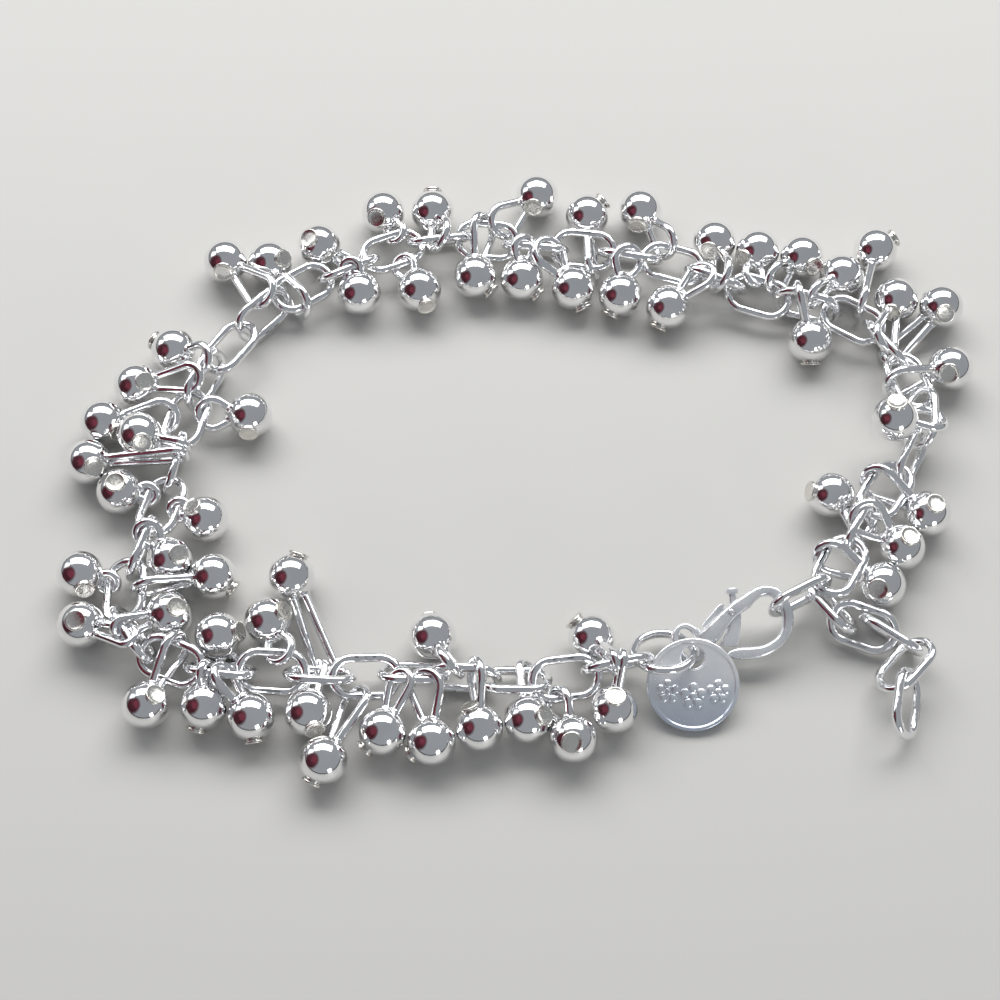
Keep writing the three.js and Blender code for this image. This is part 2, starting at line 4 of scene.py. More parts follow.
import bmesh
import bpy
import numpy as np
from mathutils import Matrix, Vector


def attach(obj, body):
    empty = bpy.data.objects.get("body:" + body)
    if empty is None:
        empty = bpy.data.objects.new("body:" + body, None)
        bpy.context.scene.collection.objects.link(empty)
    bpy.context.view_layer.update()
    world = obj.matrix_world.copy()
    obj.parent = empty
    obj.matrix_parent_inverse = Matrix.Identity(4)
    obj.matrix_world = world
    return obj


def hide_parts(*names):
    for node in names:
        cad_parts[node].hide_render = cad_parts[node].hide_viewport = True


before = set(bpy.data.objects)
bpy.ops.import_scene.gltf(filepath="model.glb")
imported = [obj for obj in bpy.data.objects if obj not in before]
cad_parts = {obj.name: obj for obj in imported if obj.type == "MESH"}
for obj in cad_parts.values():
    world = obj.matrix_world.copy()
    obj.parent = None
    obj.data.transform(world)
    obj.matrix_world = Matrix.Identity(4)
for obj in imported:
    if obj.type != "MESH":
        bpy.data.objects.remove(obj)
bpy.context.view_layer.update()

# A silver bead-cluster bracelet, fastened and lying on a pale table: the fine shapes and
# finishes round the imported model. Shapes are worked out in millimetres in the frame's own
# axes, and every mesh is written in metres.

MM = 0.001
CENTRE = np.array([1.7, 2.58, 0.0])

# ---------------------------------------------------------------- driving dimensions, mm
BALL_RADIUS = 2.1
LINK_WIRE = 0.41
LINK_ARC = 1.69
LINK_STRAIGHT = 1.2
SEAM_SPREAD = 0.9
SEAM_SWELL = {"share": 0.035, "wide": 0.24}
SEAM_GROOVE = {"share": 0.09, "wide": 0.035}
LOOP_WIRE = 0.4
LOOP_NECK = 0.52
LOOP_SUNK = 0.45
LOOP_REACH = 0.78
HEAD_RADIUS = 0.95
HEAD_FACE = 2.32
RING_RADIUS = 2.59
RING_CUT = 0.09
RING_CUT_AT = 255
TAG_RADIUS = 4.05
TAG_THICK = 0.7
TAG_HOLE = 1.0
TAG_HOLE_OUT = 2.4
TAG_FLARE = 0.12
TAG_RECESS = 0.1
TAG_RIM = 0.3
TAG_EDGE_ROUND = 0.14
TAG_DOME = 0.16
TAG_DOME_RADIUS = 3.6
CLASP_SLOT = 1.02
CLASP_BORE = 0.32
LEVER_BORE = 0.34
RIVET_RADIUS = 0.3
RIVET_TOP = 0.88
CUT_PAST = 2
ROOM_BALLS = 0.08
ROOM_WIRES = 0.1
SETTLE_ROUNDS = 60

RING_PLACE = {"at": (13.7, -16.8, 2.6), "lean": 27}
TAG_PLACE = {"tilt": 24, "crossing": 16}
CLASP_PLACE = {"at": (19.69, -13.31, 3.17), "heading": 23.5, "tilt": 19}

# ---------------------------------------------------------------- the chain and its balls
# Each beaded link's centre, and how far its flat side leans outwards (degrees).
Link = namedtuple("Link", "x y z roll")
CHAIN = [Link(*row) for row in (
    (9.6, -18.2, 3.1, -75), (5.1, -19.2, 2.35, 22), (0.7, -19.3, 2.2, -38),
    (-3.7, -19.1, 2.2, -100), (-8.1, -18.6, 2.2, -46), (-12.3, -19, 2.2, 14),
    (-16.3, -18.8, 2.2, -52), (-20.5, -18.5, 2.2, 22), (-25, -18.3, 2.2, -55),
    (-29.4, -17.5, 2.2, 20), (-32.8, -15, 2.2, -66), (-33.9, -10.7, 2.2, 15),
    (-32.8, -6.4, 2.2, 80), (-31.3, -2.2, 2.2, 10), (-30.4, 2.3, 2.2, 75),
    (-29.7, 6.9, 2.2, 5), (-28.2, 11.2, 2.2, -70), (-26.1, 14.8, 2.2, 12),
    (-23.1, 18.5, 2.2, -65), (-19.5, 21.5, 2.2, -12), (-15.2, 23.6, 2.2, 60),
    (-11, 25.7, 2.2, -5), (-6.5, 27, 2.2, 60), (-1.8, 26.9, 2.2, -20),
    (2.8, 26.1, 2.2, 60), (7.5, 25.8, 2.2, -20), (11.9, 25.1, 2.2, 60),
    (16, 24.2, 2.2, -9), (20.1, 22.4, 2.2, 67), (24.1, 20.5, 2.2, -15),
    (28.6, 19.4, 2.2, -82), (32.9, 17.8, 2.2, -10), (35.9, 14.9, 2.2, 70),
    (37.7, 11, 2.2, 10), (38.4, 7, 2.2, -50), (37.2, 2.9, 2.2, 70),
    (34.45, -0.75, 2.5, 0), (31.95, -4.75, 2.9, 75), (29.6, -8.8, 3.35, 0),
)]

# The plain links: the one in the hook, then the tail. Heading is the long side's way.
Plain = namedtuple("Plain", "name x y z heading roll")
PLAIN = [Plain(*row) for row in (
    ("clasp_link", 25.85, -11.75, 3.45, 28.6, 90),
    ("tail_link_1", 28.76, -12.07, 1.81, -52.5, -128),
    ("tail_link_2", 31.48, -13.93, 1.61, -21, -25),
    ("tail_link_3", 33.91, -14.89, 2.01, -35.5, -111),
    ("tail_link_4", 34.85, -17.93, 2.3, 48.5, 36.5),
    ("tail_link_5", 34.58, -21.62, 2.5, -101, 55.5),
)]

# Each ball: its place, its lift, and where its pin's disc head faces (degrees round from +X,
# then up). Then its loop's grip: the link, its side, how far along, the loop's twist about
# its own length and the radius of its round bend.
Ball = namedtuple("Ball", "x y lift turn up link side along twist bend")
BALLS = [Ball(*row) for row in (
    (7.1, -16.4, 0, 140, 20, 1, 1, 0.5, 0, 0.88), (8.9, -21.7, 0, 80, 80, 1, 1, -0.2, 0, 0.88),
    (5.6, -24.7, 0, 260, 60, 2, 1, 1, 35, 1.35), (1.9, -22.5, 0, 350, 50, 3, -1, -1, -45, 0.88),
    (-2.2, -23.7, 0, 120, 40, 4, 1, -1, 20, 1.5), (-6.4, -25, 0, 200, -30, 5, 1, -1, 60, 1.5),
    (-10.7, -24.1, 0, 220, -20, 5, 1, 1, 60, 1.05), (-6.6, -16.2, 0, 100, -20, 4, 1, 1, 35, 1.5),
    (-15.7, -26.7, 0, 240, -20, 6, 1, 0.7, 45, 1.5), (-17.2, -22.3, 0, 290, 20, 7, -1, 0.5, 60, 0.88),
    (-22.2, -22.7, 0, 280, -20, 9, 1, -0.5, -35, 1.05), (-26.3, -21.4, 0, 250, -30, 9, 1, 1, -20, 0.88),
    (-31.3, -21.6, 0, 10, 60, 10, -1, 0, -20, 1.5), (-21.1, -13.6, 0, 10, 45, 8, -1, -0.7, -60, 1.2),
    (-25.5, -15.4, 0, 0, 25, 9, -1, -0.5, 60, 0.88), (-19.2, -9.3, 0, 70, 25, 7, -1, -0.4, 90, 0.88),
    (-30.8, -13.1, 0, 350, 65, 11, 1, 0.5, 35, 0.88), (-26.6, -9.1, 0, 330, -15, 12, -1, 0, 0, 1.5),
    (-30.8, -8.2, 0, 340, 60, 13, -1, 1, 45, 1.05), (-37, -13.7, 0, 260, 75, 11, 1, -0.5, 60, 0.88),
    (-37.8, -9, 0, 290, 20, 12, 1, 1, -45, 0.88), (-28.1, -3.3, 0, 160, 60, 14, -1, 0, 55, 0.88),
    (-33.9, -0.7, 0, 270, 85, 14, 1, 1, -55, 0.88), (-37.8, 2, 0, 300, 45, 15, -1, 0, 0, 0.88),
    (-37.4, 6.6, 0, 320, 15, 16, 1, 0, -55, 1.5), (-33.2, 4.6, 1.4, 290, 40, 15, -1, 1, 0, 0.88),
    (-34.6, 10.6, 0, 330, 55, 17, 1, -1, -60, 1.2), (-31.4, 14.5, 0, 150, 0, 17, 1, 1, -55, 1.35),
    (-23.8, 7.4, 0, 270, 10, 16, -1, 1, 55, 1.35), (-26.7, 24.5, 0, 270, 30, 19, 1, 1, -60, 1.5),
    (-22.4, 23.3, 0, 340, 45, 20, -1, -1, -20, 1.5), (-18.2, 25.5, 0, 210, 65, 21, 1, 1, 60, 0.88),
    (-12, 30.3, 0, 250, 40, 22, 1, 1, -60, 0.88), (-12.3, 23.5, 0, 90, -20, 21, -1, 0, 60, 0.88),
    (-7.2, 30.4, 0, 90, 10, 23, -1, 0, -35, 1.5), (-8.3, 21.3, 0, 290, 5, 22, -1, 0.5, 60, 1.05),
    (-3, 22.8, 0, 320, -15, 24, 1, -0.5, -35, 1.5), (3, 32.2, 0, 260, 25, 24, 1, 1, 45, 1.5),
    (1.5, 22.5, 0, 320, -20, 25, -1, -1, -55, 1.05), (6.4, 21.5, 0, 300, -25, 25, -1, 1, -55, 1.5),
    (7.9, 29.9, 0, 40, 20, 26, -1, 1, 20, 1.2), (10.9, 20.7, 0, 240, -25, 27, -1, 0, -60, 1.35),
    (13.1, 30.5, 0, 260, 15, 28, 1, -1, -20, 1.5), (15.4, 19.3, 0, 240, -25, 29, -1, -1, 60, 1.35),
    (20, 26.2, 0, 250, 30, 29, -1, 0.7, -20, 1.5), (24.5, 25.7, 0, 220, 20, 30, 1, -1, 60, 1.05),
    (28.8, 24.7, 0, 300, 25, 30, 1, 1, 20, 1.5), (31.4, 23.3, 0, 80, -30, 31, 1, 0.5, 0, 1.2),
    (30, 16.9, 0, 270, -30, 31, 1, -1, 0, 1.5), (35.7, 25.9, 0, 30, 15, 32, 1, 0, 0, 1.5),
    (37.5, 20.1, 0, 250, 20, 33, -1, 0, 60, 1.35), (41.2, 19.4, 0, 270, 40, 33, 1, 0.4, 90, 0.88),
    (40.5, 12, 0, 250, 45, 34, -1, 0, 20, 1.5), (36.2, 4.8, 3.2, 100, 75, 35, 1, 0.7, 60, 1.5),
    (37, -2.2, 0, 350, 80, 37, -1, -0.4, 35, 1.5), (29.8, -1, 0, 180, 20, 38, 1, -0.8, 60, 1.5),
    (35.6, -6.2, 0, 10, 80, 38, -1, -0.4, 60, 1.5), (33.4, -10, 0, 240, 50, 39, -1, -0.4, 35, 1.5),
)]

# The clasp's sections from the eye round to the hook's tip: where each meets the outer and
# the inner edge (mm from the rivet, along and across), and its thickness.
ClaspSection = namedtuple("ClaspSection", "out_u out_v in_u in_v thick")
CLASP_SECTIONS = [ClaspSection(*row) for row in (
    (-3.45, -0.5, -3.45, -1.95, 0.95), (-2.7, -0.28, -2.75, -1.98, 1.3),
    (-1.9, 0.03, -1.95, -1.75, 1.5), (-0.9, 0.42, -1.0, -1.2, 1.58),
    (0.0, 0.67, -0.1, -0.72, 1.6), (0.8, 0.88, 0.75, -0.45, 1.6),
    (1.7, 1.04, 1.6, -0.3, 1.58), (2.5, 1.15, 2.4, 0.03, 1.5),
    (3.3, 1.15, 3.05, 0.16, 1.4), (4.05, 0.88, 3.62, 0.02, 1.32),
    (4.7, 0.34, 3.98, -0.4, 1.3), (5.05, -0.52, 4.13, -0.95, 1.3),
    (5.12, -1.45, 4.12, -1.58, 1.28), (4.97, -2.38, 3.95, -2.22, 1.26),
    (4.5, -3.3, 3.48, -3.03, 1.25), (3.78, -4.03, 2.88, -3.5, 1.24),
    (2.85, -4.5, 2.15, -3.7, 1.22), (1.75, -4.73, 1.4, -3.73, 1.2),
    (0.7, -4.68, 0.62, -3.54, 1.16), (-0.35, -4.37, -0.15, -3.24, 1.1),
    (-1.1, -4.02, -0.85, -3.03, 1.0), (-1.6, -3.68, -1.35, -3.0, 0.9),
    (-1.85, -3.35, -1.72, -3.08, 0.7),
)]
# The lower cheek's outer edge, which stands out past the arm behind the thumb tab.
CHEEK_SECTIONS = [ClaspSection(*row) for row in (
    (-2.7, 0.06, -2.62, -0.34, 0.26), (-2.1, 0.38, -1.95, -0.24, 0.27),
    (-1.5, 0.68, -1.3, -0.02, 0.28), (-1.0, 0.92, -0.75, 0.2, 0.28),
    (-0.5, 1.12, -0.35, 0.46, 0.27), (-0.18, 1.0, -0.22, 0.72, 0.2),
)]
CHEEK_LOW = -0.66
LEVER_SECTIONS = [ClaspSection(*row) for row in (
    (0.48, 1.72, 1.14, 1.48, 0.86), (0.34, 1.22, 1.0, 1.04, 0.88),
    (0.12, 0.76, 0.84, 0.52, 0.9), (-0.35, 0.42, 0.74, 0.12, 0.9),
    (-0.58, -0.05, 0.82, -0.22, 0.9), (-0.64, -0.62, 0.72, -0.64, 0.9),
    (-0.92, -1.18, 0.42, -1.26, 0.9), (-1.34, -1.6, 0.02, -1.92, 0.9),
    (-1.8, -1.94, -0.3, -2.46, 0.9), (-2.08, -2.26, -0.67, -2.93, 0.88),
)]
EYE = {"u": -4.52, "v": -0.98, "out_u": 1.5, "out_v": 1.9, "hole_u": 0.74, "hole_v": 1.36}
EYE_THICK = 0.88
SLOT = {"u": 0.2, "v": -0.5, "wide": 3.0, "deep": 4.2}
TAB = {"u": 0.85, "v": 1.7, "half": 0.6, "deep": 0.26, "tall": 0.75, "turn": -20}


# ---------------------------------------------------------------- vectors and curves
def unit(v):
    return v / np.linalg.norm(v)


def turned(v, axis, degrees):
    """v turned about a unit axis."""
    a = math.radians(degrees)
    return v * math.cos(a) + np.cross(axis, v) * math.sin(a) + axis * (axis @ v) * (1 - math.cos(a))


def direction(turn, up):
    """The unit vector that many degrees round from +X and up from the table."""
    t, u = math.radians(turn), math.radians(up)
    return np.array([math.cos(u) * math.cos(t), math.cos(u) * math.sin(t), math.sin(u)])


def smooth_curve(points, count):
    """A Catmull-Rom curve through the points, as count points evenly spread along it."""
    p = np.asarray(points, float)
    p = np.vstack([2 * p[0] - p[1], p, 2 * p[-1] - p[-2]])
    t = np.linspace(0, 1, 24, endpoint=False)[:, None]
    parts = []
    for a, b, c, d in zip(p[:-3], p[1:-2], p[2:-1], p[3:]):
        parts.append(0.5 * (2 * b + (c - a) * t + (2 * a - 5 * b + 4 * c - d) * t ** 2
                            + (3 * b - a - 3 * c + d) * t ** 3))
    fine = np.vstack(parts + [p[-2:-1]])
    along = np.concatenate([[0], np.cumsum(np.linalg.norm(np.diff(fine[:, :4], axis=0), axis=1))])
    at = np.linspace(0, along[-1], count)
    return np.stack([np.interp(at, along, fine[:, k]) for k in range(p.shape[1])], axis=1)


# ---------------------------------------------------------------- closed shells
def grid_faces(rows, columns, close_rows=False):
    """Quads between neighbouring rows of points, each row a ring of that many columns."""
    faces = []
    for i in range(rows if close_rows else rows - 1):
        a, b = i * columns, (i + 1) % rows * columns
        for k in range(columns):
            n = (k + 1) % columns
            faces.append((a + k, a + n, b + n, b + k))
    return faces


def end_faces(rows, columns):
    """The flat faces that close the first and the last row."""
    last = (rows - 1) * columns
    return [tuple(range(columns))[::-1], tuple(range(last, last + columns))]


def poled_faces(rows, columns):
    """grid_faces closed by a fan at each end, round two poles that follow the rows."""
    faces = grid_faces(rows, columns)
    low, high, last = rows * columns, rows * columns + 1, (rows - 1) * columns
    for k in range(columns):
        n = (k + 1) % columns
        faces.append((low, n, k))
        faces.append((high, last + k, last + n))
    return faces


def tube(line, binormal, radius, sides=16, closed=False):
    """A round wire along a line that lies square to the binormal, with flat ends."""
    line = np.asarray(line, float)
    if closed:
        ahead, behind = np.roll(line, -1, 0), np.roll(line, 1, 0)
    else:
        ahead, behind = np.vstack([line[1:], line[-1:]]), np.vstack([line[:1], line[:-1]])
    tangent = ahead - behind
    tangent /= np.linalg.norm(tangent, axis=1)[:, None]
    side = np.cross(binormal, tangent)
    side /= np.linalg.norm(side, axis=1)[:, None]
    up = np.cross(tangent, side)
    a = 2 * np.pi * np.arange(sides) / sides
    radius = np.broadcast_to(radius, len(line))[:, None, None]
    ring = np.cos(a)[None, :, None] * side[:, None] + np.sin(a)[None, :, None] * up[:, None]
    points = (line[:, None] + radius * ring).reshape(-1, 3)
    faces = grid_faces(len(line), sides, closed)
    if not closed:
        faces += end_faces(len(line), sides)
    return points, faces


def lathe(profile, centre, axis, steps=40):
    """A profile of (radius, height) turned about an axis, from one pole to the other."""
    axis = unit(np.asarray(axis, float))
    x = unit(np.cross(axis, [0.3, 0.1, 1.0] if abs(axis[2]) < 0.9 else [1.0, 0.2, 0.1]))
    y = np.cross(axis, x)
    a = 2 * np.pi * np.arange(steps) / steps
    ring = np.cos(a)[:, None] * x + np.sin(a)[:, None] * y
    inner = profile[1:-1]
    points = [centre + ring * r + axis * h for r, h in inner]
    ends = np.array([centre + axis * profile[0][1], centre + axis * profile[-1][1]])
    return np.vstack(points + [ends]), poled_faces(len(inner), steps)


def loft(sections, count, around, power, place):
    """A solid through flat sections, each a rounded bar from its outer to its inner edge."""
    rows = smooth_curve(sections, count)
    a = 2 * np.pi * np.arange(around) / around
    across = np.sign(np.cos(a)) * np.abs(np.cos(a)) ** (2 / power)
    up = np.sign(np.sin(a)) * np.abs(np.sin(a)) ** (2 / power)
    points = []
    for out_u, out_v, in_u, in_v, thick in rows:
        outer, inner = np.array([out_u, out_v]), np.array([in_u, in_v])
        flat = (outer + inner) / 2 + across[:, None] * (outer - inner) / 2
        points.append(np.column_stack([flat, up * thick / 2]))
    return place(np.vstack(points)), grid_faces(count, around) + end_faces(count, around)


def signed_volume(points, faces):
    """Six times the volume inside the faces, negative if they face inwards."""
    total = 0.0
    for f in faces:
        a = points[f[0]]
        for j in range(1, len(f) - 1):
            total += a @ np.cross(points[f[j]], points[f[j + 1]])
    return total


class Form:
    """Closed shells gathered into one mesh, each with the finish that it takes."""

    def __init__(self):
        self.points, self.faces, self.finishes, self.count = [], [], [], 0

    def add(self, shell, finish=0):
        points, faces = shell
        if signed_volume(points, faces) < 0:
            faces = [f[::-1] for f in faces]
        self.points.append(points)
        self.faces += [tuple(i + self.count for i in f) for f in faces]
        self.finishes += [finish] * len(faces)
        self.count += len(points)
        return self

    def make(self, name, materials, sharp=40):
        mesh = bpy.data.meshes.new(name)
        mesh.from_pydata((np.vstack(self.points) * MM).tolist(), [], self.faces)
        for material in materials:
            mesh.materials.append(material)
        mesh.polygons.foreach_set("material_index", self.finishes)
        mesh.shade_smooth()
        mesh.set_sharp_from_angle(angle=math.radians(sharp))
        mesh.update()
        piece = bpy.data.objects.new(name, mesh)
        bpy.context.scene.collection.objects.link(piece)
        return piece


def fit_in(piece, body, slot, *nodes):
    """piece rides on the body and stands for the CAD nodes, which it hides; slot is not used."""
    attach(piece, body)
    if nodes:
        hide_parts(*nodes)
    return piece


# ---------------------------------------------------------------- where everything lies
def frame_at(row, heading):
    """A link's centre and its three axes; heading is in radians."""
    along = np.array([math.cos(heading), math.sin(heading), 0.0])
    roll = math.radians(row.roll)
    across = np.array([-along[1] * math.cos(roll), along[0] * math.cos(roll), -math.sin(roll)])
    centre = np.array([row.x, row.y, row.z]) - CENTRE
    return {"centre": centre, "along": along, "across": across, "flat": np.cross(along, across)}


def chain_frames():
    """Each beaded link's frame, headed from the link before it to the link after it."""
    frames = []
    for i, row in enumerate(CHAIN):
        before, after = CHAIN[max(i - 1, 0)], CHAIN[min(i + 1, len(CHAIN) - 1)]
        frames.append(frame_at(row, math.atan2(after.y - before.y, after.x - before.x)))
    return frames


def oval_line(f, steps, runs=()):
    """The middle of a link's wire: two half circles, with extra points on the straights."""
    a = 2 * np.pi * (np.arange(steps) + 0.5) / steps
    x = LINK_ARC * np.cos(a) + np.where(np.cos(a) > 0, LINK_STRAIGHT, -LINK_STRAIGHT)
    flat = list(zip(x, LINK_ARC * np.sin(a)))
    if len(runs):
        q = steps // 4
        top = [(-r, LINK_ARC) for r in runs]
        bottom = [(r, -LINK_ARC) for r in runs]
        flat = flat[:q] + top + flat[q:3 * q] + bottom + flat[3 * q:]
    return np.array([f["centre"] + f["along"] * u + f["across"] * v for u, v in flat])


def settle_balls(frames):
    """The balls pushed apart on the table until each clears the others and the chain."""
    places = np.array([[b.x, b.y, BALL_RADIUS + b.lift] for b in BALLS]) - CENTRE
    chain = []
    for f in frames:
        chain.append(oval_line(f, 24))
        chain.append(np.array([f["centre"] + f["along"] * u + f["across"] * v
                               for v in (LINK_ARC, -LINK_ARC) for u in (-0.8, -0.4, 0, 0.4, 0.8)]))
    chain = np.vstack(chain)
    apart = 2 * BALL_RADIUS + ROOM_BALLS
    clear = BALL_RADIUS + LINK_WIRE + ROOM_WIRES
    for _ in range(SETTLE_ROUNDS):
        moves = np.zeros((len(places), 2))
        for i, place in enumerate(places):
            for j in range(i):
                d = place - places[j]
                r = np.linalg.norm(d)
                if r < apart:
                    push = d[:2] * (apart - r) * 0.5 / math.hypot(d[0], d[1])
                    moves[i] += push
                    moves[j] -= push
            gaps = np.linalg.norm(place - chain, axis=1)
            k = int(gaps.argmin())
            if gaps[k] < clear:
                d = place - chain[k]
                moves[i] += d[:2] * (clear - gaps[k]) * 0.8 / math.hypot(d[0], d[1])
        places[:, :2] += moves
    return places


# ---------------------------------------------------------------- links and charms
# Where points crowd along a straight side, mm from its middle, to show the joint.
SEAM = np.array([-0.9, -0.6, -0.4, -0.28, -0.2, -0.13, -0.07, -0.03, 0.0,
                 0.03, 0.07, 0.13, 0.2, 0.28, 0.4, 0.6, 0.9])


def link_shell(f, number):
    """An oval link of round wire, with its soldered joint on one straight side."""
    line = oval_line(f, 56, -SEAM)
    place = (number * 0.37) % SEAM_SPREAD - SEAM_SPREAD / 2
    side = 1 if number % 2 else -1
    u = (line - f["centre"]) @ f["along"]
    v = (line - f["centre"]) @ f["across"]
    near = np.where(v * side > LINK_ARC * 0.9, np.abs(u - place), 9.0)
    swell = SEAM_SWELL["share"] * np.exp(-(near / SEAM_SWELL["wide"]) ** 2)
    groove = SEAM_GROOVE["share"] * np.exp(-(near / SEAM_GROOVE["wide"]) ** 2)
    return tube(line, f["flat"], LINK_WIRE * (1 + swell - groove), 18, closed=True)


def loop_line(far, bend):
    """A loop seen flat: two legs that part from the ball and run on into a round bend."""
    start = np.array([BALL_RADIUS - LOOP_SUNK, LOOP_NECK])
    middle = np.array([far - bend, 0.0])
    gap = middle - start
    lean = math.atan2(gap[1], gap[0]) + math.asin(min(bend / np.hypot(*gap), 1))
    turn = lean + math.pi / 2
    arc = np.linspace(turn, -turn, 37)
    bend_line = middle + bend * np.column_stack([np.cos(arc), np.sin(arc)])
    leg = start + (bend_line[0] - start) * np.linspace(0, 1, 9)[:-1, None]
    return np.vstack([leg, bend_line, leg[::-1] * [1, -1]])


# Each profile is (radius, height) from one pole to the other: the collar's height is from the
# ball's surface, the head's from the ball's centre.
COLLAR_PROFILE = [(0, -0.3), (LOOP_WIRE + 0.13, -0.3), (LOOP_WIRE + 0.13, 0.0),
                  (LOOP_WIRE + 0.1, 0.09), (LOOP_WIRE + 0.03, 0.14), (LOOP_WIRE - 0.05, 0.16),
                  (0, 0.16)]
HEAD_PROFILE = [(0, 1.95), (HEAD_RADIUS - 0.25, 1.95), (HEAD_RADIUS - 0.12, 2.0),
                (HEAD_RADIUS - 0.03, 2.08), (HEAD_RADIUS, 2.17), (HEAD_RADIUS - 0.02, 2.25),
                (HEAD_RADIUS - 0.06, 2.3), (HEAD_RADIUS - 0.11, HEAD_FACE),
                (HEAD_RADIUS - 0.17, HEAD_FACE - 0.01), (HEAD_RADIUS - 0.26, HEAD_FACE - 0.05),
                (HEAD_RADIUS - 0.5, HEAD_FACE - 0.062), (0, HEAD_FACE - 0.07)]


def charm_shells(row, centre, f):
    """A ball's pin: its wire loop, the collars where the wire leaves the ball, and its head."""
    grip = f["centre"] + f["along"] * row.along + f["across"] * row.side * LINK_ARC
    out = unit(grip - centre)
    square = unit(f["along"] - out * (f["along"] @ out))
    normal = turned(square, out, row.twist)
    side = np.cross(normal, out)
    flat = loop_line(np.linalg.norm(grip - centre) + LOOP_REACH, row.bend)
    line = centre + flat[:, :1] * out + flat[:, 1:] * side
    wire = tube(line, normal, LOOP_WIRE, 16)
    collars = []
    for s in (1, -1):
        foot = centre + out * math.sqrt(BALL_RADIUS ** 2 - LOOP_NECK ** 2) + side * s * LOOP_NECK
        way = unit(line[4] - line[0]) if s > 0 else unit(line[-5] - line[-1])
        collars.append(lathe(COLLAR_PROFILE, foot, way, 20))
    return wire, collars, lathe(HEAD_PROFILE, centre, direction(row.turn, row.up), 44)


def icosphere(level):
    """A unit sphere of even triangles."""
    bm = bmesh.new()
    bmesh.ops.create_icosphere(bm, subdivisions=level, radius=1.0)
    bm.verts.ensure_lookup_table()
    points = np.array([v.co for v in bm.verts])
    faces = [tuple(v.index for v in f.verts) for f in bm.faces]
    bm.free()
    return points / np.linalg.norm(points, axis=1)[:, None], faces


# ---------------------------------------------------------------- ring, tag and clasp
RING_CENTRE = np.array(RING_PLACE["at"]) - CENTRE
RING_NORMAL = np.array([0, math.sin(math.radians(RING_PLACE["lean"])),
                        math.cos(math.radians(RING_PLACE["lean"]))])
RING_NEAR = np.array([0, -RING_NORMAL[2], RING_NORMAL[1]])


def ring_point(degrees):
    """The middle of the jump ring's wire, that many degrees round from +X."""
    a = math.radians(degrees)
    return RING_CENTRE + RING_RADIUS * (math.cos(a) * np.array([1, 0, 0]) + math.sin(a) * RING_NEAR)


def ring_shell():
    """The jump ring, open at its cut."""
    half = math.degrees(RING_CUT / 2 / RING_RADIUS)
    turns = np.linspace(RING_CUT_AT + half, RING_CUT_AT + 360 - half, 121)
    return tube([ring_point(t) for t in turns], RING_NORMAL, LINK_WIRE, 20)


# The tag's rosettes: each one's place on the disc (x, y) and its scale.
FLOWERS = [(-2.2, -0.62, 1.12), (0.0, -1.0, 1.25), (2.2, -0.62, 1.12)]
PETALS = 5
PETAL = {"out": 0.6, "radius": 0.35, "height": 0.17}
BOSS = {"radius": 0.3, "height": 0.2}


def cap(distance, radius):
    """A round bump's height over its radius."""
    return np.sqrt(np.clip(1 - (distance / radius) ** 2, 0, 1))


def flower_height(x, y, scale):
    """A small rosette's height, mm: a round boss among plump petals."""
    x, y = x / scale, y / scale
    height = BOSS["height"] * cap(np.hypot(x, y), BOSS["radius"])
    for k in range(PETALS):
        a = 2 * math.pi * k / PETALS + math.pi / 2
        away = np.hypot(x - PETAL["out"] * math.cos(a), y - PETAL["out"] * math.sin(a))
        height = np.maximum(height, PETAL["height"] * cap(away, PETAL["radius"]))
    return height


def tag_shell():
    """The tag's disc, flat in its own axes: a raised rim round a domed face with rosettes."""
    steps = 220
    radii = np.concatenate([np.linspace(0.04, TAG_RADIUS - 0.5, 88),
                            TAG_RADIUS - np.array([0.46, 0.42, 0.38, 0.34, 0.3, 0.26, 0.22,
                                                   0.18, 0.14, 0.1, 0.06, 0.03, 0.01, 0.0])])
    a = 2 * np.pi * np.arange(steps) / steps
    half = TAG_THICK / 2
    rings = []
    for r in radii:
        x, y = r * np.cos(a), r * np.sin(a)
        edge = TAG_RADIUS - r
        dome = TAG_DOME * max(1 - (r / TAG_DOME_RADIUS) ** 2, 0)
        z = half - TAG_RECESS * np.clip((edge - TAG_RIM) / 0.12, 0, 1) + dome
        if edge < TAG_EDGE_ROUND:
            fall = TAG_EDGE_ROUND ** 2 - (TAG_EDGE_ROUND - edge) ** 2
            z = half - TAG_EDGE_ROUND + math.sqrt(max(fall, 0))
        relief = sum(flower_height(x - fx, y - fy, s) for fx, fy, s in FLOWERS)
        rings.append(np.column_stack([x, y, np.full(steps, z) + relief * (edge > 0.4)]))
    for edge, z in ((0.0, -half + 0.16), (0.02, -half + 0.08), (0.08, -half + 0.02),
                    (0.16, -half), (2.0, -half), (3.9, -half)):
        r = TAG_RADIUS - edge
        rings.append(np.column_stack([r * np.cos(a), r * np.sin(a), np.full(steps, z)]))
    points = np.vstack(rings + [[[0, 0, half - TAG_RECESS + TAG_DOME]], [[0, 0, -half]]])
    return points, poled_faces(len(rings), steps)


def tag_hole_shell():
    """The cutter for the tag's hole, flared where it meets the two faces."""
    low, high = -TAG_THICK / 2, TAG_THICK / 2 - 0.06
    turns = [math.pi / 2 * k / 8 for k in range(9)]
    profile = [(0, -1.2), (TAG_HOLE + 0.9, -1.2)]
    for a in turns:
        out, rise = TAG_FLARE * (1 - math.sin(a)), TAG_FLARE * (1 - math.cos(a))
        profile.append((TAG_HOLE + out, low + rise))
    for a in turns:
        out, fall = TAG_FLARE * (1 - math.cos(a)), TAG_FLARE * (1 - math.sin(a))
        profile.append((TAG_HOLE + out, high - fall))
    profile += [(TAG_HOLE + 0.9, 1.2), (0, 1.2)]
    return lathe(profile, np.array([0, TAG_HOLE_OUT, 0.0]), np.array([0, 0, 1.0]), 64)


